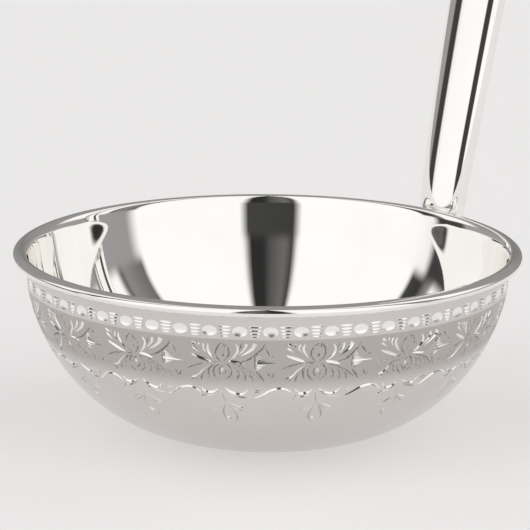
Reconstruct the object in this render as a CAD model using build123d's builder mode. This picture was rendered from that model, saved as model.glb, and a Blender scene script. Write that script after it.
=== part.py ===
"""A serving ladle in silver: a raised bowl with a wired lip, and a hollow handle of two stamped halves.

The origin is the middle of the small flat under the bowl. +Z runs up the bowl's axis, +X points to the
handle, and the ladle is symmetric about the XZ plane. Everything is in millimetres.
"""

import os
from math import cos, radians, sin, sqrt

from build123d import *

# Bowl
rim_radius = 47.5  # to the nose of the lip
body_height = 30.1  # height at which the body's side stands upright, below the flare
flat_radius = 10.0  # planished flat that the bowl rests on
wall = 0.9
base_fullness = 0.79  # how far the flat's tangent reaches, as a share of the run out to the side
side_fullness = 0.195  # how far the upright side's tangent reaches, as a share of the body's height
flare_radius = 8.0  # outward curl of the wall's outside just under the lip
flare_angle = 21.5
inside_fullness = 0.868  # the same share as base_fullness, for the wall's inside
inside_reach = 5.75  # length of the tangent with which the inside reaches the lip
inside_lean = 10.5  # from upright, where the inside reaches the lip

# Lip: an oval wire soldered along the top edge of the wall
lip_overhang = 2.65  # how far the nose stands out past the body
lip_nose_reach = 1.65  # from the crown to the nose
lip_half_height = 1.05
shoulder_rise = 1.1  # length of the tangent that leaves the inside of the wall
shoulder_run = 0.7  # length of the tangent that reaches the crown

# Handle: three tangent arcs, each given by its length and by its lean from upright at its ends
root_offset = 1.36  # from the lip's nose out to the middle of the handle's lower end
root_rise = 0.35  # from the lip's crown up to the same point
neck_length = 12.0
shank_length = 150.0
hook_length = 33.0
root_lean = 9.3
neck_lean = 13.2
shank_lean = 17.5
hook_lean = 50.0

# Handle section: an oval whose flatter faces look towards the bowl and away from it
root_half_width = 5.1
end_half_width = 8.4
root_thickness_ratio = 0.60  # half thickness over half width
end_thickness_ratio = 0.36
widening_start = 0.02  # larger values make the handle widen more evenly from its root
shell_wall = 0.8

# Foot and end cap
foot_plug_length = 10.0
cap_plug_length = 5.0
plug_clearance = 0.15
cap_length = 12.0

# The foot's drop, from the lip down. Each row is a share of the side's outline, then the half width,
# the reach past the wall and the half thickness there.
drop_stations = [
    (0.97, 4.7, 4.2, 2.6),
    (0.90, 4.3, 3.1, 2.6),
    (0.82, 3.7, 2.1, 2.2),
    (0.74, 2.9, 1.2, 1.8),
    (0.66, 1.8, -0.3, 1.4),
]

body_radius = rim_radius - lip_overhang
handle_length = neck_length + shank_length + hook_length
shell_stations = (
    [neck_length * share for share in (0, 0.15, 0.5)]
    + [neck_length + shank_length * step / 8 for step in range(8)]
    + [handle_length - hook_length * step / 6 for step in range(6, -1, -1)]
)


def leaning(lean):
    """The direction that leans out from upright by an angle, in section."""
    return Vector(sin(radians(lean)), cos(radians(lean)))


# The wall's outside in section: x is the distance from the bowl's axis, y the height
with BuildLine() as wall_outline:
    Line((0, 0), (flat_radius, 0))
    side = Bezier(
        (flat_radius, 0),
        (flat_radius + base_fullness * (body_radius - flat_radius), 0),
        (body_radius, body_height * (1 - side_fullness)),
        (body_radius, body_height),
    )
    flare = JernArc(side @ 1, (0, 1), flare_radius, -flare_angle)

wall_top_outside = flare @ 1
wall_top_inside = wall_top_outside + leaning(flare_angle - 90) * wall
crown = Vector(rim_radius - lip_nose_reach, wall_top_outside.Y + 2 * lip_half_height)

# The lip's outside in section, from the crown round the nose and back under to the wall
with BuildLine() as lip_outline:
    nose = EllipticalCenterArc(
        crown - Vector(0, lip_half_height), lip_nose_reach, lip_half_height, start_angle=90, arc_size=-180
    )
    Line(nose @ 1, wall_top_outside)


def turn(start, direction, length, lean_change):
    """An arc of the handle's path over which its lean from upright grows by lean_change degrees."""
    return JernArc(start, direction, length / radians(lean_change), -lean_change)


# The handle's path in section, from the middle of its own lower end, and where that end stands
with BuildLine() as handle_path:
    neck = turn((0, 0), leaning(root_lean), neck_length, neck_lean - root_lean)
    shank = turn(neck @ 1, neck % 1, shank_length, shank_lean - neck_lean)
    hook = turn(shank @ 1, shank % 1, hook_length, hook_lean - shank_lean)
handle_line = handle_path.wire()
root = crown + Vector(rim_radius - crown.X + root_offset, root_rise)


def plane_across(outline, share, shift=Vector(0, 0)):
    """The plane across a section outline at a share of its length, with y towards the bowl's axis."""
    point, direction = outline @ share + shift, outline % share
    return Plane(
        origin=(point.X, 0, point.Y),
        x_dir=(0, 1, 0),
        z_dir=(direction.X, 0, direction.Y),
    )


def station(distance, shift=root):
    """The plane across the handle at a distance along its path."""
    return plane_across(handle_line, distance / handle_length, shift)


def front_of(direction):
    """A step square to the path, towards the bowl's axis, that is longer than the path is bowed."""
    return Vector(-direction.Y, direction.X) * handle_length / 3


def half_sizes(distance, inset=0.0):
    """Half width and half thickness of the handle's oval at a distance along its path, less an inset."""
    share = distance / handle_length
    start = sqrt(widening_start)
    widening = (sqrt(share + widening_start) - start) / (sqrt(1 + widening_start) - start)
    half_width = root_half_width + (end_half_width - root_half_width) * widening
    ratio = root_thickness_ratio - (root_thickness_ratio - end_thickness_ratio) * share**2
    return half_width - inset, half_width * ratio - inset


def oval(half_width, half_thickness):
    """The handle's section, drawn from its front face to keep the loft's seam off the shells' joint."""
    Ellipse(half_thickness, half_width, rotation=90)


def half_shell(keep):
    """One stamped half of the hollow handle. The halves meet on the surface that holds the path."""
    with BuildPart() as shell:
        for inset, mode in ((0, Mode.ADD), (shell_wall, Mode.SUBTRACT)):
            for distance in shell_stations:
                with BuildSketch(station(distance, Vector(0, 0))):
                    oval(*half_sizes(distance, inset))
            loft(mode=mode)
        with BuildSketch(Plane.XZ):
            with BuildLine():
                add(handle_path.line)
                above = hook @ 1 + hook % 1 * cap_length
                below = -cap_length * (neck % 0)
                front_above = above + front_of(hook % 1)
                front_below = below + front_of(neck % 0)
                Polyline(hook @ 1, above, front_above, front_below, below, (0, 0))
            make_face()
        extrude(amount=2 * end_half_width, both=True, mode=keep)
    return shell


# Bowl: one sheet from the flat to the flared top edge
with BuildPart() as bowl:
    with BuildSketch(Plane.XZ):
        with BuildLine():
            add(wall_outline.line)
            Polyline((0, 0), (0, wall), (flat_radius, wall))
            Bezier(
                (flat_radius, wall),
                (flat_radius + inside_fullness * (wall_top_inside.X - flat_radius), wall),
                wall_top_inside - leaning(inside_lean) * inside_reach,
                wall_top_inside,
            )
            Line(wall_top_outside, wall_top_inside)
        make_face()
    revolve(axis=Axis.Z)

# Lip
with BuildPart() as rim_wire:
    with BuildSketch(Plane.XZ):
        with BuildLine():
            Bezier(
                wall_top_inside,
                wall_top_inside + leaning(inside_lean) * shoulder_rise,
                crown - Vector(shoulder_run, 0),
                crown,
            )
            add(lip_outline.line)
            Line(wall_top_outside, wall_top_inside)
        make_face()
    revolve(axis=Axis.Z)

# Handle shells
with BuildPart() as handle_front_shell:
    with Locations((root.X, 0, root.Y)):
        add(half_shell(Mode.INTERSECT).part)
with BuildPart() as handle_back_shell:
    with Locations((root.X, 0, root.Y)):
        add(half_shell(Mode.SUBTRACT).part)

# Foot: a plug in the handle's lower end, saddled over the lip, with a drop that tapers down the wall
with BuildPart() as handle_foot:
    with BuildSketch(station(0)):
        oval(*half_sizes(0))
    for share, half_width, reach, half_thickness in drop_stations:
        with BuildSketch(plane_across(side, share)):
            with Locations((0, half_thickness - reach)):
                oval(half_width, half_thickness)
    loft()
    with BuildSketch(Plane.XZ):
        with BuildLine():
            add(wall_outline.line)
            add(lip_outline.line)
            Polyline(crown, (0, crown.Y), (0, 0))
        make_face()
    revolve(axis=Axis.Z, mode=Mode.SUBTRACT)
    for distance in (0, foot_plug_length / 2, foot_plug_length):
        with BuildSketch(station(distance)):
            oval(*half_sizes(distance, shell_wall + plug_clearance))
    loft()

# End cap: half an ellipsoid that carries on the handle's oval, with a plug in the handle's upper end
half_ball = Sphere(1, arc_size1=0, align=(Align.CENTER, Align.CENTER, Align.MIN))
end_dome = scale(half_ball, by=(*half_sizes(handle_length), cap_length))
with BuildPart() as handle_end_cap:
    add(station(handle_length) * end_dome)
    for distance in (handle_length - cap_plug_length, handle_length - cap_plug_length / 2, handle_length):
        with BuildSketch(station(distance)):
            oval(*half_sizes(distance, shell_wall + plug_clearance))
    loft()

pieces = {
    "bowl": bowl,
    "rim_wire": rim_wire,
    "handle_foot": handle_foot,
    "handle_front_shell": handle_front_shell,
    "handle_back_shell": handle_back_shell,
    "handle_end_cap": handle_end_cap,
}
os.makedirs("parts", exist_ok=True)
for name, piece in pieces.items():
    piece.part.label = name
    export_step(piece.part, f"parts/{name}.step")
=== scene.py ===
"""Looks of a silver serving ladle: a raised bowl, engraved outside and polished inside, with a hollow handle.

Everything is built in the CAD frame. Section sizes are in millimetres, and meshes are made in metres.
"""

import math

import bmesh
import bpy
import numpy as np
from mathutils import Matrix, Vector, geometry


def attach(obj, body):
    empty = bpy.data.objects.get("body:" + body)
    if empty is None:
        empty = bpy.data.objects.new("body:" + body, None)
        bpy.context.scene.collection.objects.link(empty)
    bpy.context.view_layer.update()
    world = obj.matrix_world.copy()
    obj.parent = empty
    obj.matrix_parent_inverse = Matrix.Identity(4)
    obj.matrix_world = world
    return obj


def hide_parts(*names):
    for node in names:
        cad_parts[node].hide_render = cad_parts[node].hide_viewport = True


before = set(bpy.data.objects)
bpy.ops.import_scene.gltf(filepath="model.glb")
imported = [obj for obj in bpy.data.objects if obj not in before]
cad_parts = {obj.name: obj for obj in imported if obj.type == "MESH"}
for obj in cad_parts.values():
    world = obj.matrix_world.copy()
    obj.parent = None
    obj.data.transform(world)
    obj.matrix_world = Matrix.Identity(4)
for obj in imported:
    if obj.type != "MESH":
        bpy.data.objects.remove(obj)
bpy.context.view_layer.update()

MM = 0.001
WELD = 0.0015  # vertices nearer than this, in millimetres, become one

# Bowl and lip sections
RIM_RADIUS = 47.5
BODY_HEIGHT = 30.1
FLAT_RADIUS = 10.0
WALL = 0.9
BASE_FULLNESS = 0.79
SIDE_FULLNESS = 0.195
FLARE_RADIUS = 8.0
FLARE_ANGLE = math.radians(21.5)
INSIDE_FULLNESS = 0.868
INSIDE_REACH = 5.75
INSIDE_LEAN = math.radians(10.5)
LIP_OVERHANG = 2.65
LIP_NOSE_REACH = 1.65
LIP_HALF_HEIGHT = 1.05
SHOULDER_RISE = 1.1
SHOULDER_RUN = 0.7
BODY_RADIUS = RIM_RADIUS - LIP_OVERHANG

# Handle path and section
ROOT_OFFSET = 1.36
ROOT_RISE = 0.35
HANDLE_ARCS = ((12.0, 9.3, 13.2), (150.0, 13.2, 17.5), (33.0, 17.5, 50.0))  # length, lean at each end
HANDLE_LENGTH = sum(arc[0] for arc in HANDLE_ARCS)
ROOT_HALF_WIDTH = 5.1
WIDENING_START = 0.02
END_HALF_WIDTH = 8.4
ROOT_THICKNESS_RATIO = 0.60
END_THICKNESS_RATIO = 0.36
SHELL_WALL = 0.8
CAP_LENGTH = 12.0
HALF_POINTS = 49  # points round half of the oval
CAP_POINTS = 96  # points round the end cap
CAP_LOOPS = 24
CAP_TOP = 88  # degrees up the cap's dome at its last loop, closed by a flat face
ROOT_STRETCH = 20.0  # the loops crowd together towards the root over this length
ROOT_LOOPS = 14
SHAFT_LOOPS = 90

# Finish of the silver
PATCH_SCALE = 90.0  # slow changes of polish, per metre
TONE_SPREAD = (0.94, 1.05)  # darkest and lightest patch, as shares of the colour
POLISH_SPREAD = (0.75, 1.25)  # the same for the roughness
MATTED_BAND = (19.8, 28.7)  # heights between which the outside's ground is matted
MATTED_SOFT_BELOW = 1.2  # half the height over which it starts
MATTED_SOFT_ABOVE = 0.15  # half the height over which it ends
MATTED_DOT = 0.42
MATTED_DEPTH = 0.10
MATTED_TONE = (0.74, 0.73, 0.72, 1)

# Camera and studio, with distances in metres and the lens in millimetres
HANDLE_TO_VIEW = math.radians(44.2)  # turn from the handle's side of the bowl to the line of sight
ELEVATION = math.radians(13.351)
ROLL = math.radians(0.428)
DISTANCE = 0.7
LENS = 255.29
AIM = Vector((-0.000330, 0.000340, 0.031648))
FLOOR_SIDE = 4.0  # half the floor's side
FLOOR_DROP = 0.0002  # the floor lies this far under the bowl's flat
FLOOR_COLOR = (0.6, 0.6, 0.6, 1)
FLOOR_GLOW_COLOR = (1, 0.99, 0.985, 1)
FLOOR_GLOW = 0.42
WARMTH = (1, 0.985, 0.98)  # of the studio's light
UPPER_START, UPPER_END = 13, 19  # elevations over which the upper ring takes over, in degrees


def bezier(points, count):
    """Points along a cubic curve, given by its ends and the two handles between them."""
    t = np.linspace(0, 1, count)[:, None]
    p0, p1, p2, p3 = (np.array(p, float) for p in points)
    return (1 - t) ** 3 * p0 + 3 * (1 - t) ** 2 * t * p1 + 3 * (1 - t) * t**2 * p2 + t**3 * p3


def outside_section():
    """The wall's outside from the middle of its flat to its top edge, as (radius, height) rows."""
    run = BODY_RADIUS - FLAT_RADIUS
    side = bezier(
        (
            (FLAT_RADIUS, 0),
            (FLAT_RADIUS + BASE_FULLNESS * run, 0),
            (BODY_RADIUS, BODY_HEIGHT * (1 - SIDE_FULLNESS)),
            (BODY_RADIUS, BODY_HEIGHT),
        ),
        160,
    )
    turn = np.linspace(0, FLARE_ANGLE, 24)[1:]
    flare_radius = BODY_RADIUS + FLARE_RADIUS * (1 - np.cos(turn))
    flare_height = BODY_HEIGHT + FLARE_RADIUS * np.sin(turn)
    flare = np.stack([flare_radius, flare_height], 1)
    return np.concatenate([[(0, 0)], side, flare])


def ring_quads(start, count):
    """Quads from the ring of vertices that starts at an index to the ring after it."""
    quads = []
    for i in range(count):
        j = (i + 1) % count
        quads.append((start + i, start + j, start + count + j, start + count + i))
    return quads


def surface_of_revolution(section, count):
    """Vertices in millimetres and quads of a section turned round the bowl's axis."""
    angles = np.arange(count) * 2 * math.pi / count
    rings = [np.stack([r * np.cos(angles), r * np.sin(angles), np.full(count, z)], 1) for r, z in section]
    faces = []
    for ring in range(len(section) - 1):
        faces.extend(ring_quads(ring * count, count))
    return np.concatenate(rings), faces


def make_piece(name, node, vertices, faces, materials, sharp, material_of_face=None):
    """A mesh piece in the CAD frame that stands for a CAD node.

    Vertices are in millimetres, and edges that turn by more than sharp, in degrees, are not smoothed.
    """
    mesh = bpy.data.meshes.new(name)
    mesh.from_pydata([tuple(v) for v in np.asarray(vertices) * MM], [], faces)
    for material in materials:
        mesh.materials.append(material)
    if material_of_face is not None:
        mesh.polygons.foreach_set("material_index", np.asarray(material_of_face, np.int32))
    bm = bmesh.new()
    bm.from_mesh(mesh)
    bmesh.ops.remove_doubles(bm, verts=bm.verts, dist=WELD * MM)
    bmesh.ops.recalc_face_normals(bm, faces=bm.faces)
    bm.to_mesh(mesh)
    bm.free()
    mesh.shade_smooth()
    mesh.set_sharp_from_angle(angle=math.radians(sharp))
    piece = bpy.data.objects.new(name, mesh)
    bpy.context.scene.collection.objects.link(piece)
    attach(piece, "root")
    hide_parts(node)


# Materials
def silver(name, color, roughness, grain, grain_size, band=None):
    """Silver whose polish varies. Grain and grain_size are its fine surface's depth and size in millimetres.

    Between the two heights of a band, in millimetres, the ground is coarser and darker.
    """
    material = bpy.data.materials.new(name)
    material.use_nodes = True
    nodes, links = material.node_tree.nodes, material.node_tree.links
    shader = nodes["Principled BSDF"]
    shader.inputs["Metallic"].default_value = 1.0
    place = nodes.new("ShaderNodeTexCoord")
    patches = nodes.new("ShaderNodeTexNoise")
    patches.inputs["Scale"].default_value = PATCH_SCALE
    patches.inputs["Detail"].default_value = 4.0
    links.new(place.outputs["Object"], patches.inputs["Vector"])
    tone = nodes.new("ShaderNodeMix")
    tone.data_type = "RGBA"
    tone.inputs["A"].default_value = (*(c * TONE_SPREAD[0] for c in color), 1)
    tone.inputs["B"].default_value = (*(min(1, c * TONE_SPREAD[1]) for c in color), 1)
    links.new(patches.outputs["Fac"], tone.inputs["Factor"])
    if band is None:
        links.new(tone.outputs["Result"], shader.inputs["Base Color"])
    polish = nodes.new("ShaderNodeMapRange")
    polish.inputs["To Min"].default_value = roughness * POLISH_SPREAD[0]
    polish.inputs["To Max"].default_value = roughness * POLISH_SPREAD[1]
    links.new(patches.outputs["Fac"], polish.inputs["Value"])
    links.new(polish.outputs["Result"], shader.inputs["Roughness"])
    fine = nodes.new("ShaderNodeTexNoise")
    fine.inputs["Scale"].default_value = 1 / (grain_size * MM)
    fine.inputs["Detail"].default_value = 3.0
    links.new(place.outputs["Object"], fine.inputs["Vector"])
    bump = nodes.new("ShaderNodeBump")
    bump.inputs["Strength"].default_value = 1.0
    bump.inputs["Distance"].default_value = grain * MM
    links.new(fine.outputs["Fac"], bump.inputs["Height"])
    links.new(bump.outputs["Normal"], shader.inputs["Normal"])
    if band is not None:
        matted_ground(nodes, links, shader, place, tone, bump, band)
    return material


def matted_ground(nodes, links, shader, place, tone, bump, band):
    """Fine punched dots and a darker tone between two heights, with a soft lower edge."""
    low, high = band
    axes = nodes.new("ShaderNodeSeparateXYZ")
    links.new(place.outputs["Object"], axes.inputs["Vector"])
    rise, fall = (nodes.new("ShaderNodeMapRange") for _ in range(2))
    edges = (
        (rise, low - MATTED_SOFT_BELOW, low + MATTED_SOFT_BELOW),
        (fall, high + MATTED_SOFT_ABOVE, high - MATTED_SOFT_ABOVE),
    )
    for edge, start, end in edges:
        edge.inputs["From Min"].default_value = start * MM
        edge.inputs["From Max"].default_value = end * MM
        links.new(axes.outputs["Z"], edge.inputs["Value"])
    inside = nodes.new("ShaderNodeMath")
    inside.operation = "MULTIPLY"
    links.new(rise.outputs["Result"], inside.inputs[0])
    links.new(fall.outputs["Result"], inside.inputs[1])
    dots = nodes.new("ShaderNodeTexVoronoi")
    dots.inputs["Scale"].default_value = 1 / (MATTED_DOT * MM)
    links.new(place.outputs["Object"], dots.inputs["Vector"])
    punched = nodes.new("ShaderNodeBump")
    punched.inputs["Distance"].default_value = MATTED_DEPTH * MM
    links.new(inside.outputs["Value"], punched.inputs["Strength"])
    links.new(dots.outputs["Distance"], punched.inputs["Height"])
    links.new(bump.outputs["Normal"], punched.inputs["Normal"])
    links.new(punched.outputs["Normal"], shader.inputs["Normal"])
    darker = nodes.new("ShaderNodeMix")
    darker.data_type = "RGBA"
    darker.blend_type = "MULTIPLY"
    darker.inputs["B"].default_value = MATTED_TONE
    links.new(inside.outputs["Value"], darker.inputs["Factor"])
    links.new(tone.outputs["Result"], darker.inputs["A"])
    links.new(darker.outputs["Result"], shader.inputs["Base Color"])


polished = silver("polished_silver", (0.93, 0.92, 0.90), 0.022, 0.0003, 1.6)
satin = silver("satin_silver", (0.70, 0.67, 0.65), 0.23, 0.005, 0.16, band=MATTED_BAND)
bright_cut = silver("bright_cut_silver", (0.94, 0.93, 0.91), 0.09, 0.0008, 0.3)
burnished = silver("burnished_silver", (0.95, 0.94, 0.92), 0.24, 0.001, 0.3)

# Bowl's outside, measured by the distance down from its top edge under the lip
outer = outside_section()
steps = np.linalg.norm(np.diff(outer, axis=0), axis=1)
up_of_outer = np.concatenate([[0], np.cumsum(steps)])
down_of_outer = (up_of_outer[-1] - up_of_outer)[::-1]
outer_down = outer[::-1]
OUTER_LENGTH = down_of_outer[-1]
SLOPE_STEP = 0.2  # either way along the outline, to find its slope


def outer_at(down):
    """The outside's radius and height at a distance down from its top edge."""
    radius = np.interp(down, down_of_outer, outer_down[:, 0])
    height = np.interp(down, down_of_outer, outer_down[:, 1])
    return radius, height


def outer_point(turn, down, depth):
    """Points on the bowl's outside, cut in by a depth; turn in degrees, the rest in millimetres."""
    radius, height = outer_at(down)
    radius_ahead, height_ahead = outer_at(np.clip(down + SLOPE_STEP, 0, OUTER_LENGTH))
    radius_behind, height_behind = outer_at(np.clip(down - SLOPE_STEP, 0, OUTER_LENGTH))
    d_radius = radius_ahead - radius_behind
    d_height = height_ahead - height_behind
    size = np.hypot(d_radius, d_height)
    radius = radius + depth * d_height / size
    height = height - depth * d_radius / size
    angle = np.radians(turn)
    return np.stack([radius * np.cos(angle), radius * np.sin(angle), height], 1)


DEGREE = BODY_RADIUS * math.pi / 180  # millimetres in one degree round the bowl's side
OVALS = 52
MOTIFS = 16
RING = 416  # vertices in a ring where the border meets the field
BORDER_BOTTOM = 4.3
FIELD_BOTTOM = 25.0
BORDER_GRID = 0.6  # spacing of the plain points between cuts
FIELD_GRID = 0.5
EDGE_STEP = 0.8  # spacing of the points down a panel's sides
ROW_SHARE = 0.87  # rows of points, as a share of their spacing, for nearly equal-sided triangles
CLEARANCE = 0.1  # plain points keep this far from a cut
CUT_STEP = 0.33  # spacing of the points along a cut
OVAL_POINTS = 28
CUT_FLOOR = 0.006  # a triangle deeper than this has the cut's finish
DEPTH_FLOOR = 0.008  # a point less deep than this is left flat
UNDER_RINGS = 26
ROUND = 288  # sides of the bowl's inside and of the lip


def through(points, count):
    """A smooth run of points through a few."""
    p = np.array(points, float)
    if len(p) == 2:
        return p[0] + (p[1] - p[0]) * np.linspace(0, 1, count)[:, None]
    chord = np.concatenate([[0], np.cumsum(np.sqrt(np.linalg.norm(np.diff(p, axis=0), axis=1)))])
    padded = np.concatenate([[2 * p[0] - p[1]], p, [2 * p[-1] - p[-2]]])
    out = []
    for t in np.linspace(0, chord[-1], count):
        i = min(np.searchsorted(chord, t, side="right") - 1, len(p) - 2)
        f = (t - chord[i]) / (chord[i + 1] - chord[i])
        a, b, c, d = padded[i : i + 4]
        square = 2 * a - 5 * b + 4 * c - d
        cube = 3 * b - a - 3 * c + d
        out.append(0.5 * (2 * b + (c - a) * f + square * f**2 + cube * f**3))
    return np.array(out)


# How wide each kind of cut is, from 0 to 1, at a share of its length
SHAPES = {
    "line": lambda t: np.sin(math.pi * np.clip(t, 0, 1)) ** 0.55,
    "bar": lambda t: 1 - np.abs(2 * t - 1) ** 3.0,
    "wedge": lambda t: np.clip(np.minimum(t * 14, 1) * (1 - t) ** 0.8, 0, 1),
    "drop": lambda t: np.clip(t**0.9 * np.minimum((1 - t) * 5, 1), 0, 1),
}

SATIN, BRIGHT, BURNISHED = 0, 1, 2  # the bowl's material slots
BRIGHT_WIDTH = 0.44  # narrower lines and drops are left satin


class Cut:
    """A V-shaped graver's cut: its spine in millimetres, its half width along it, and its side slope."""

    def __init__(self, points, width, shape, slope, shift=0.0):
        flat = [((u + shift) * DEGREE, v) for u, v in points]
        length = sum(math.dist(flat[i], flat[i + 1]) for i in range(len(flat) - 1))
        count = max(5, min(18, int(length / CUT_STEP) + 3))
        self.spine = through(flat, count)
        self.half = width / 2 * SHAPES[shape](np.linspace(0, 1, count))
        self.slope = slope
        self.finish = BRIGHT if width >= BRIGHT_WIDTH or shape in ("wedge", "bar") else SATIN

    def outline(self):
        """Points down the two sides of the cut."""
        tangent = np.gradient(self.spine, axis=0)
        tangent /= np.linalg.norm(tangent, axis=1)[:, None]
        side = np.stack([-tangent[:, 1], tangent[:, 0]], 1) * self.half[:, None]
        return self.spine + side, self.spine - side

    def depth(self, points):
        """How deep the cut is at points, and 0 outside it."""
        best = np.zeros(len(points))
        for a, b, wa, wb in zip(self.spine[:-1], self.spine[1:], self.half[:-1], self.half[1:]):
            along = b - a
            t = np.clip((points - a) @ along / max(along @ along, 1e-12), 0, 1)
            distance = np.linalg.norm(points - a - t[:, None] * along, axis=1)
            best = np.maximum(best, self.slope * (wa + (wb - wa) * t - distance))
        return best


class Scoop:
    """A smooth oval hollow."""

    rings = (1.0, 0.9, 0.72, 0.5, 0.25)
    finish = BURNISHED

    def __init__(self, centre, half_width, half_height, depth):
        self.centre = np.array([centre[0] * DEGREE, centre[1]])
        self.size = np.array([half_width, half_height])
        self.deepest = depth

    def outline(self):
        """Ovals from the hollow's edge towards its middle."""
        angle = np.arange(OVAL_POINTS) * 2 * math.pi / OVAL_POINTS
        circle = np.stack([np.cos(angle), np.sin(angle)], 1)
        return [self.centre + circle * self.size * share for share in self.rings]

    def depth(self, points):
        """How deep the hollow is at points, and 0 outside it."""
        share = np.linalg.norm((points - self.centre) / self.size, axis=1)
        return self.deepest * np.clip(1 - share**2.2, 0, None)


def plain_points(cuts, width, top, bottom, grid):
    """Evenly spread points of a panel that keep clear of its cuts."""
    spread = []
    for row, y in enumerate(np.arange(top + grid / 2, bottom, grid * ROW_SHARE)):
        for x in np.arange(grid * (0.3 + 0.5 * (row % 2)), width - grid * 0.2, grid):
            spread.append((x, y))
    spread = np.array(spread)
    clear = np.ones(len(spread), bool)
    for cut in cuts:
        clear &= cut.depth(spread) <= 0
        if isinstance(cut, Scoop):
            clear &= np.linalg.norm((spread - cut.centre) / (cut.size + CLEARANCE), axis=1) > 1
        else:
            near = np.min(np.linalg.norm(spread[:, None] - cut.spine[None], axis=2) - cut.half[None], axis=1)
            clear &= near > CLEARANCE
    return spread[clear]


def cut_panel(cuts, width, top, bottom, columns, grid, relief=None):
    """A flat panel of engraving: points, depths, triangles and the finish of each."""
    points, edges = [], []

    def add_loop(loop, closed):
        start = len(points)
        points.extend(map(tuple, loop))
        count = len(loop)
        edges.extend((start + i, start + (i + 1) % count) for i in range(count if closed else count - 1))

    xs = np.linspace(0, width, columns + 1)
    rows = max(2, int(round((bottom - top) / EDGE_STEP)))
    ys = np.linspace(top, bottom, rows + 1)
    add_loop(
        [(x, top) for x in xs] + [(width, y) for y in ys[1:]]
        + [(x, bottom) for x in xs[::-1][1:]] + [(0, y) for y in ys[::-1][1:-1]],
        True,
    )
    for cut in cuts:
        if isinstance(cut, Scoop):
            for loop in cut.outline():
                add_loop(loop, True)
            points.append(tuple(cut.centre))
        else:
            left, right = cut.outline()
            add_loop(cut.spine, False)
            add_loop(np.concatenate([left, right[::-1][1:-1]]), True)
    points.extend(map(tuple, plain_points(cuts, width, top, bottom, grid)))
    verts, _, faces, *_ = geometry.delaunay_2d_cdt([Vector(p) for p in points], edges, [], 0, 1e-5)
    flat = np.array([(v.x, v.y) for v in verts])
    faces = np.array([f for f in faces if len(f) == 3])
    middle = flat[faces].mean(axis=1)
    inside = (middle[:, 0] > 0) & (middle[:, 0] < width) & (middle[:, 1] > top) & (middle[:, 1] < bottom)
    faces, middle = faces[inside], middle[inside]
    depth = np.zeros(len(flat))
    finish = np.full(len(middle), SATIN)
    for cut in cuts:
        depth = np.maximum(depth, cut.depth(flat))
        finish[cut.depth(middle) > CUT_FLOOR] = cut.finish
    depth[depth < DEPTH_FLOOR] = 0
    if relief is not None:
        depth = depth + relief(flat)
    return flat, depth, faces, finish


# Border: smooth ovals between groups of short bars. Each bar is its distance down, half length and width.
CELL = 360 / OVALS
OVAL_MIDDLE = 1.85  # degrees from the side of its panel
BORDER_START = CELL / 2 - OVAL_MIDDLE
BAR_SLOPE = 0.6
border_cuts = [Scoop((OVAL_MIDDLE, 2.9), 1.36, 0.93, 0.20)]
bar_middle = OVAL_MIDDLE + CELL / 2
for level, half_length, width in ((2.0, 1.5, 0.44), (2.62, 1.4, 0.44), (3.22, 1.25, 0.42), (3.76, 1.0, 0.32)):
    ends = [(bar_middle - half_length, level), (bar_middle + half_length, level)]
    border_cuts.append(Cut(ends, width, "bar", BAR_SLOPE))

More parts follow.
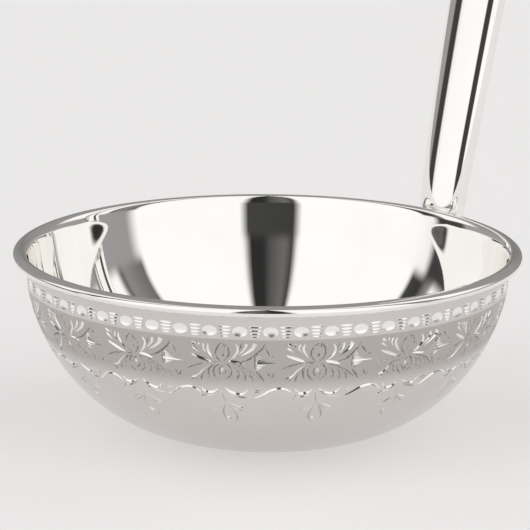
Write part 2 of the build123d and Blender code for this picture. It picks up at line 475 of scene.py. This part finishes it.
# Field: a palmette over a hanging flower, a scroll and a three-leaved drop.
# Each cut is its width, its kind and its spine, in degrees from the motif's middle and millimetres down.
motif = [
    (0.28, "line", [(-0.3, 9.0), (-1.5, 8.0), (-1.7, 6.8), (-1.0, 5.7), (0.1, 5.0)]),
    (0.30, "line", [(0.2, 9.0), (1.3, 7.9), (1.5, 6.8), (1.1, 5.8), (0.2, 5.0)]),
    (0.35, "line", [(0.4, 5.3), (0.5, 6.1)]),
    (0.30, "line", [(0.1, 7.3), (0.0, 8.0)]),
    (0.36, "line", [(3.2, 5.3), (3.8, 6.2), (3.4, 7.3), (1.8, 8.7)]),
    (0.25, "line", [(4.6, 5.2), (4.6, 5.9), (4.0, 6.7)]),
    (0.45, "wedge", [(5.9, 5.1), (5.7, 6.0), (4.9, 6.8), (3.9, 7.4)]),
    (0.62, "wedge", [(7.9, 5.2), (7.3, 6.2), (5.8, 7.1), (4.5, 7.7)]),
    (0.32, "line", [(10.2, 5.0), (9.6, 6.2), (8.0, 7.5), (6.0, 8.5), (4.0, 9.0)]),
    (0.42, "line", [(1.4, 8.8), (3.2, 8.9), (5.2, 9.35)]),
    (0.44, "line", [(-7.4, 7.4), (-5.0, 8.2), (-2.6, 9.0)]),
    (0.38, "line", [(-3.3, 5.2), (-3.6, 6.2), (-3.1, 7.2), (-2.2, 8.2)]),
    (0.32, "wedge", [(-4.4, 5.2), (-4.6, 6.2), (-3.9, 7.1)]),
    (0.40, "wedge", [(-7.2, 5.9), (-6.4, 6.4), (-5.6, 7.0)]),
    (0.50, "wedge", [(-7.2, 5.1), (-6.0, 5.7)]),
    (0.36, "wedge", [(-5.5, 5.1), (-5.4, 5.9)]),
    (0.30, "line", [(-3.0, 9.1), (-4.6, 9.4), (-6.8, 9.9), (-8.4, 10.6)]),
    (0.30, "line", [(-0.6, 9.0), (-1.8, 9.15), (-2.8, 9.05)]),
    (0.20, "line", [(8.0, 7.1), (7.9, 8.8), (7.8, 10.4)]),
    (0.46, "wedge", [(8.1, 8.9), (10.5, 8.9), (13.2, 8.95)]),
    (0.20, "wedge", [(8.3, 8.35), (11.0, 8.6)]),
    (0.20, "wedge", [(8.3, 7.95), (10.3, 8.25)]),
    (0.20, "wedge", [(8.4, 7.5), (9.8, 7.95)]),
    (0.18, "wedge", [(8.7, 7.1), (9.5, 7.6)]),
    (0.26, "wedge", [(8.2, 9.45), (10.6, 9.3)]),
    (0.24, "wedge", [(8.2, 9.85), (9.9, 9.65)]),
    (0.22, "wedge", [(8.2, 10.25), (9.5, 9.95)]),
    (0.26, "line", [(10.1, 5.9), (10.9, 6.6), (11.5, 7.5)]),
    (0.26, "line", [(11.9, 7.6), (12.8, 7.8)]),
    (0.32, "line", [(7.9, 10.6), (8.9, 11.6), (9.9, 12.9)]),
    (0.24, "line", [(2.0, 9.2), (4.5, 9.9), (6.8, 10.9), (8.8, 12.4)]),
    (0.28, "line", [(11.0, 10.9), (11.3, 11.9), (12.0, 12.0), (12.5, 11.0)]),
    (0.28, "line", [(-0.6, 9.3), (-1.9, 10.4), (-1.9, 11.8), (-0.5, 13.1)]),
    (0.25, "line", [(0.6, 9.5), (-0.5, 10.1), (-0.7, 11.2), (0.0, 11.9), (0.8, 11.2), (0.7, 10.4)]),
    (0.42, "line", [(0.05, 10.3), (0.1, 11.0)]),
    (0.26, "line", [(0.7, 9.2), (2.0, 10.4), (2.0, 11.8), (0.6, 13.0)]),
    (0.34, "line", [(-1.7, 9.5), (-3.0, 10.4), (-3.2, 11.4), (-2.9, 12.5)]),
    (0.36, "drop", [(-2.6, 9.5), (-4.4, 10.7), (-5.9, 12.0), (-7.6, 12.5)]),
    (0.30, "drop", [(-3.6, 10.8), (-4.6, 11.9), (-5.1, 13.3)]),
    (0.34, "line", [(-6.0, 12.9), (-7.6, 13.1)]),
    (0.34, "drop", [(2.1, 9.6), (3.4, 10.6), (3.9, 11.6), (3.5, 12.6)]),
    (0.28, "drop", [(2.8, 9.7), (4.7, 10.8), (5.4, 11.8), (5.3, 13.0)]),
    (0.26, "drop", [(4.2, 10.1), (6.0, 11.0), (6.9, 12.0), (7.1, 13.2)]),
    (0.40, "line", [(7.3, 17.0), (9.2, 16.2), (11.2, 15.1), (13.6, 14.65), (15.6, 15.1), (17.0, 16.1)]),
    (0.34, "line", [(17.2, 16.2), (17.2, 16.8), (16.5, 17.3)]),
    (0.42, "line", [(0.6, 14.4), (1.8, 15.3), (4.0, 15.9), (5.2, 15.6), (6.0, 14.7)]),
    (0.28, "line", [(0.9, 15.1), (2.4, 16.1), (5.0, 16.75), (7.2, 16.7)]),
    (0.42, "line", [(-0.8, 14.7), (-2.2, 15.6), (-3.8, 15.8), (-4.9, 15.3), (-5.1, 14.6)]),
    (0.30, "line", [(-0.8, 15.4), (-2.6, 16.3), (-4.2, 16.7), (-5.3, 16.5)]),
    (0.20, "line", [(7.2, 15.0), (9.2, 15.15)]),
    (0.18, "line", [(7.2, 15.4), (8.9, 15.5)]),
    (0.20, "line", [(-0.1, 15.5), (0.0, 16.8), (0.4, 18.2)]),
    (0.34, "drop", [(-0.3, 18.2), (-2.2, 19.0), (-4.3, 19.9)]),
    (0.18, "line", [(-0.3, 18.8), (-2.0, 19.8), (-3.9, 20.5)]),
    (0.38, "drop", [(0.9, 17.8), (2.4, 18.8), (4.8, 19.6)]),
    (0.20, "line", [(1.0, 18.5), (2.4, 19.7), (4.2, 20.3)]),
    (0.30, "line", [(0.2, 18.5), (-0.9, 20.2), (-1.2, 21.8), (-0.6, 23.0), (0.6, 23.9)]),
    (0.30, "line", [(0.7, 18.5), (1.8, 20.3), (2.3, 21.8), (2.0, 23.0), (0.9, 23.9)]),
    (0.45, "line", [(-0.6, 21.9), (0.4, 22.8)]),
]
FIELD_WEIGHT = 1.25  # how much wider the field's cuts are than the list says
FIELD_SLOPE = 1.1  # depth gained per millimetre in from a cut's edge
PANEL_OVERLAP = 0.5  # cuts this near a panel's side, in degrees, belong to both panels
PITCH = 360 / MOTIFS
FIELD_START = BORDER_START
MOTIF_MIDDLE = PITCH / 2 - FIELD_START
field_cuts = []
for width, shape, points in motif:
    low = min(u for u, v in points) + MOTIF_MIDDLE
    high = max(u for u, v in points) + MOTIF_MIDDLE
    for shift in (-PITCH, 0, PITCH):
        if high + shift > -PANEL_OVERLAP and low + shift < PITCH + PANEL_OVERLAP:
            cut = Cut(points, width * FIELD_WEIGHT, shape, FIELD_SLOPE, MOTIF_MIDDLE + shift)
            field_cuts.append(cut)

# Soft hollows between the petals: how wide, how deep and where
RELIEF = 2.0  # how much deeper they are than the list says
hollows = [
    (0.9, 0.10, [(0.0, 8.4), (0.0, 6.0)]),
    (0.8, 0.08, [(2.4, 5.4), (2.6, 6.6), (1.6, 8.2)]),
    (0.8, 0.08, [(-2.5, 5.6), (-2.6, 6.8), (-1.8, 8.2)]),
    (1.0, 0.10, [(6.8, 7.6), (9.0, 6.6)]),
    (1.0, 0.10, [(-4.5, 9.9), (-7.5, 11.4)]),
    (0.9, 0.10, [(1.4, 9.8), (1.5, 11.5), (0.3, 12.6)]),
    (0.9, 0.10, [(-1.4, 10.2), (-1.4, 11.6)]),
    (1.1, 0.12, [(4.0, 10.8), (6.5, 12.4)]),
    (1.1, 0.10, [(0.6, 19.4), (0.6, 22.6)]),
    (0.7, 0.08, [(-1.2, 18.9), (-3.4, 20.0)]),
    (0.7, 0.08, [(1.6, 18.6), (3.8, 19.8)]),
]


def soft_relief(points):
    """Depth of all the soft hollows at points of the field's panel."""
    total = np.zeros(len(points))
    for width, depth, line in hollows:
        for shift in (-PITCH, 0, PITCH):
            path = through([((u + MOTIF_MIDDLE + shift) * DEGREE, v) for u, v in line], 7)
            nearest = np.min(np.linalg.norm(points[:, None] - path[None], axis=2), axis=1)
            total += RELIEF * depth * np.exp(-((nearest / (width * 0.5)) ** 2))
    return total


def hand_wander(turn, down):
    """Small slow drifts of the graver's hand round the field: degrees aside and millimetres along."""
    a = np.radians(turn)
    hold = np.clip((down - BORDER_BOTTOM) / 1.5, 0, 1) * np.clip((FIELD_BOTTOM - down) / 1.5, 0, 1)
    aside = hold * (0.30 * np.sin(5 * a + 1.3 + 0.25 * down) + 0.22 * np.sin(13 * a + 0.4 - 0.4 * down))
    along = hold * (0.12 * np.sin(7 * a + 2.1) + 0.10 * np.sin(19 * a + 0.3 * down))
    return aside, along


outer_vertices = []
outer_faces = []
outer_materials = []


def lay(panel, copies, start, pitch, wander):
    """Copies of a panel side by side round the bowl, each a pitch in degrees from the last."""
    flat, depth, faces, finish = panel
    for copy in range(copies):
        base = sum(len(v) for v in outer_vertices)
        turn = start + copy * pitch + flat[:, 0] / DEGREE
        down = flat[:, 1].copy()
        if wander:
            aside, along = hand_wander(turn, down)
            turn, down = turn + aside, down + along
        outer_vertices.append(outer_point(turn, down, depth))
        outer_faces.extend(map(tuple, (faces + base).tolist()))
        outer_materials.extend(finish.tolist())


border = cut_panel(border_cuts, CELL * DEGREE, 0.0, BORDER_BOTTOM, RING // OVALS, BORDER_GRID)
lay(border, OVALS, BORDER_START, CELL, wander=False)
field = cut_panel(
    field_cuts, PITCH * DEGREE, BORDER_BOTTOM, FIELD_BOTTOM, RING // MOTIFS, FIELD_GRID, soft_relief
)
lay(field, MOTIFS, FIELD_START, PITCH, wander=True)

# Plain underside, from the field down to the flat
under = np.linspace(FIELD_BOTTOM, OUTER_LENGTH, UNDER_RINGS)
base = sum(len(v) for v in outer_vertices)
turn = FIELD_START + np.arange(RING) * 360 / RING
for down in under[:-1]:
    outer_vertices.append(outer_point(turn, np.full(RING, down), np.zeros(RING)))
for ring in range(len(under) - 2):
    outer_faces.extend(ring_quads(base + ring * RING, RING))
    outer_materials.extend([SATIN] * RING)
last = base + (len(under) - 2) * RING
outer_vertices.append(np.zeros((1, 3)))
tip = last + RING
for i in range(RING):
    outer_faces.append((last + i, last + (i + 1) % RING, tip))
    outer_materials.append(SATIN)

make_piece(
    "bowl_outside", "bowl", np.concatenate(outer_vertices), outer_faces,
    [satin, bright_cut, burnished], sharp=17, material_of_face=outer_materials,
)

# Bowl: polished inside
top_outside = outer[-1]
top_inside = top_outside + WALL * np.array([-math.cos(FLARE_ANGLE), math.sin(FLARE_ANGLE)])
inside_direction = np.array([math.sin(INSIDE_LEAN), math.cos(INSIDE_LEAN)])
inside_section = bezier(
    (
        (FLAT_RADIUS, WALL),
        (FLAT_RADIUS + INSIDE_FULLNESS * (top_inside[0] - FLAT_RADIUS), WALL),
        top_inside - inside_direction * INSIDE_REACH,
        top_inside,
    ),
    110,
)
flat_radii = np.linspace(0.02, FLAT_RADIUS, 8)[:-1]
inside_flat = np.stack([flat_radii, np.full(len(flat_radii), WALL)], 1)
vertices, faces = surface_of_revolution(np.concatenate([inside_flat, inside_section, [top_outside]]), ROUND)
make_piece("bowl_inside", "bowl", vertices, faces, [polished], sharp=35)

# Lip
crown = np.array([RIM_RADIUS - LIP_NOSE_REACH, top_outside[1] + 2 * LIP_HALF_HEIGHT])
shoulder = bezier(
    (top_inside, top_inside + inside_direction * SHOULDER_RISE, crown - (SHOULDER_RUN, 0), crown), 14
)
swing = np.radians(np.linspace(90, -90, 25))[1:]
nose = crown - (0, LIP_HALF_HEIGHT)
nose = nose + np.stack([LIP_NOSE_REACH * np.cos(swing), LIP_HALF_HEIGHT * np.sin(swing)], 1)
lip_section = np.concatenate([shoulder, nose, [top_outside], [top_inside]])
vertices, faces = surface_of_revolution(lip_section, ROUND)
make_piece("lip", "rim_wire", vertices, faces, [polished], sharp=35)


# Handle
def handle_station(distance):
    """The handle path's point (x, z) and lean from upright, in radians, at a distance along it."""
    x, z = RIM_RADIUS + ROOT_OFFSET, crown[1] + ROOT_RISE
    for length, lean_start, lean_end in HANDLE_ARCS:
        start, change = math.radians(lean_start), math.radians(lean_end - lean_start)
        part = min(distance, length)
        bend = change / length
        lean = start + bend * part
        x += (math.cos(start) - math.cos(lean)) / bend
        z += (math.sin(lean) - math.sin(start)) / bend
        distance -= part
        if distance <= 0:
            break
    return x, z, lean


def half_sizes(distance):
    """Half width and half thickness of the handle's oval at a distance along its path."""
    share = max(distance, 0) / HANDLE_LENGTH
    start = math.sqrt(WIDENING_START)
    widening = (math.sqrt(share + WIDENING_START) - start) / (math.sqrt(1 + WIDENING_START) - start)
    half_width = ROOT_HALF_WIDTH + (END_HALF_WIDTH - ROOT_HALF_WIDTH) * widening
    ratio = ROOT_THICKNESS_RATIO - (ROOT_THICKNESS_RATIO - END_THICKNESS_RATIO) * share**2
    return half_width, half_width * ratio


def oval_loop(distance, inset, angles, grow=1.0, lift=0.0):
    """Points of the handle's oval: angle 0 is along +Y, 90 degrees towards the bowl."""
    x, z, lean = handle_station(distance)
    half_width, half_thickness = half_sizes(distance)
    across = (half_width - inset) * grow * np.cos(angles)
    front = (half_thickness - inset) * grow * np.sin(angles)
    return np.stack(
        [
            x - front * math.cos(lean) + lift * math.sin(lean),
            across,
            z + front * math.sin(lean) + lift * math.cos(lean),
        ],
        1,
    )


def loft_loops(loops, close_ends=True):
    """Vertices and quads through loops of equally many points."""
    count = len(loops[0])
    faces = []
    for k in range(len(loops) - 1):
        faces.extend(ring_quads(k * count, count))
    if close_ends:
        faces.append(tuple(range(count))[::-1])
        faces.append(tuple((len(loops) - 1) * count + i for i in range(count)))
    return np.concatenate(loops), faces


def shell(name, node, start_angle):
    """One half of the hollow handle, with its wall, closed at both ends."""
    half = np.linspace(start_angle, start_angle + math.pi, HALF_POINTS)
    near_root = np.linspace(0, 1, ROOT_LOOPS) ** 2 * ROOT_STRETCH
    distances = np.concatenate([near_root, np.linspace(ROOT_STRETCH, HANDLE_LENGTH, SHAFT_LOOPS)[1:]])
    loops = []
    for distance in distances:
        outside = oval_loop(distance, 0, half)
        inside = oval_loop(distance, SHELL_WALL, half[::-1])
        loops.append(np.concatenate([outside, inside]))
    vertices, faces = loft_loops(loops, close_ends=False)
    count = 2 * HALF_POINTS
    for end in (0, len(loops) - 1):
        first, last = end * count, end * count + count - 1
        for i in range(HALF_POINTS - 1):
            quad = (first + i, first + i + 1, last - 1 - i, last - i)
            faces.append(quad if end else quad[::-1])
    make_piece(name, node, vertices, faces, [polished], sharp=40)


shell("handle_front", "handle_front_shell", 0.0)
shell("handle_back", "handle_back_shell", math.pi)
round_angles = np.arange(CAP_POINTS) * 2 * math.pi / CAP_POINTS
dome = [
    oval_loop(HANDLE_LENGTH, 0, round_angles, math.cos(a), CAP_LENGTH * math.sin(a))
    for a in np.radians(np.linspace(0, CAP_TOP, CAP_LOOPS))
]
vertices, faces = loft_loops(dome)
make_piece("handle_end", "handle_end_cap", vertices, faces, [polished], sharp=40)

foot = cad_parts["handle_foot"]
foot.data.materials.clear()
foot.data.materials.append(burnished)

# Camera
forward = Vector(
    (
        math.cos(HANDLE_TO_VIEW) * math.cos(ELEVATION),
        math.sin(HANDLE_TO_VIEW) * math.cos(ELEVATION),
        -math.sin(ELEVATION),
    )
)
camera_data = bpy.data.cameras.new("camera")
camera_data.lens = LENS
camera_data.sensor_width = 36.0
camera = bpy.data.objects.new("camera", camera_data)
bpy.context.scene.collection.objects.link(camera)
look = forward.to_track_quat("-Z", "Y").to_matrix().to_4x4()
camera.matrix_world = Matrix.Translation(AIM - forward * DISTANCE) @ look @ Matrix.Rotation(ROLL, 4, "Z")
bpy.context.scene.camera = camera

# Floor
floor_mesh = bpy.data.meshes.new("floor")
corners = [(x * FLOOR_SIDE, y * FLOOR_SIDE, 0) for x, y in ((-1, -1), (1, -1), (1, 1), (-1, 1))]
floor_mesh.from_pydata(corners, [], [(0, 1, 2, 3)])
floor = bpy.data.objects.new("floor", floor_mesh)
floor.location.z = -FLOOR_DROP
bpy.context.scene.collection.objects.link(floor)
pale = bpy.data.materials.new("pale_floor")
pale.use_nodes = True
pale_shader = pale.node_tree.nodes["Principled BSDF"]
pale_shader.inputs["Base Color"].default_value = FLOOR_COLOR
pale_shader.inputs["Roughness"].default_value = 0.9
pale_shader.inputs["Emission Color"].default_value = FLOOR_GLOW_COLOR
pale_shader.inputs["Emission Strength"].default_value = FLOOR_GLOW
floor_mesh.materials.append(pale)

# Studio: broad white panels with dark openings between them, over a dimmer band along the horizon.
# Each stop is a direction in degrees from the camera's side, counter-clockwise from above, and a brightness.
world = bpy.data.worlds.new("studio")
bpy.context.scene.world = world
world.use_nodes = True
nodes, links = world.node_tree.nodes, world.node_tree.links
background = nodes["Background"]
direction = nodes.new("ShaderNodeTexCoord")
turned = nodes.new("ShaderNodeVectorRotate")
turned.rotation_type = "Z_AXIS"
turned.inputs["Angle"].default_value = -(HANDLE_TO_VIEW + math.pi)
split = nodes.new("ShaderNodeSeparateXYZ")
around = nodes.new("ShaderNodeMath")
around.operation = "ARCTAN2"
round_share = nodes.new("ShaderNodeMapRange")
round_share.inputs["From Min"].default_value = -math.pi
round_share.inputs["From Max"].default_value = math.pi
links.new(direction.outputs["Generated"], turned.inputs["Vector"])
links.new(turned.outputs["Vector"], split.inputs["Vector"])
links.new(split.outputs["Y"], around.inputs[0])
links.new(split.outputs["X"], around.inputs[1])
links.new(around.outputs["Value"], round_share.inputs["Value"])


def panel_ring(stops):
    """A ramp of brightness all the way round the horizon, slightly warm."""
    panels = nodes.new("ShaderNodeValToRGB")
    links.new(round_share.outputs["Result"], panels.inputs["Fac"])
    ramp = panels.color_ramp
    while len(ramp.elements) > 1:
        ramp.elements.remove(ramp.elements[-1])
    for index, (degrees, value) in enumerate(stops):
        place = (degrees + 180) / 360
        stop = ramp.elements[0] if index == 0 else ramp.elements.new(place)
        stop.position = place
        stop.color = (*(value * share for share in WARMTH), 1)
    return panels


upper = panel_ring([
    (-180, 0.30), (-128, 0.32), (-120, 1.05), (-100, 1.05), (-97, 0.30), (-91, 0.04), (-84, 0.06),
    (-82, 1.08), (-16, 1.08), (-13, 0.05), (-9, 0.16), (-2, 0.10), (2, 0.03), (9, 0.03),
    (13, 1.08), (68, 1.08), (70, 0.16), (82, 0.28), (85, 0.10),
    (88, 1.05), (120, 1.05), (128, 0.32), (180, 0.30),
])
lower = panel_ring([
    (-180, 0.22), (-150, 0.34), (-113, 0.36), (-109, 0.06), (-93, 0.05),
    (-89, 0.95), (-80, 1.05), (-17, 1.08), (-13, 0.05), (10, 0.06),
    (14, 1.08), (68, 1.08), (74, 0.34), (120, 0.36), (150, 0.30), (180, 0.22),
])
rise = nodes.new("ShaderNodeMapRange")
rise.interpolation_type = "SMOOTHSTEP"
rise.inputs["From Min"].default_value = math.sin(math.radians(UPPER_START))
rise.inputs["From Max"].default_value = math.sin(math.radians(UPPER_END))
links.new(split.outputs["Z"], rise.inputs["Value"])
sky = nodes.new("ShaderNodeMix")
sky.data_type = "RGBA"
links.new(rise.outputs["Result"], sky.inputs["Factor"])
links.new(lower.outputs["Color"], sky.inputs["A"])
links.new(upper.outputs["Color"], sky.inputs["B"])
links.new(sky.outputs["Result"], background.inputs["Color"])

bpy.context.scene.view_settings.view_transform = "Standard"
bpy.context.scene.cycles.glossy_bounces = 12  # the bowl mirrors itself many times near its lip
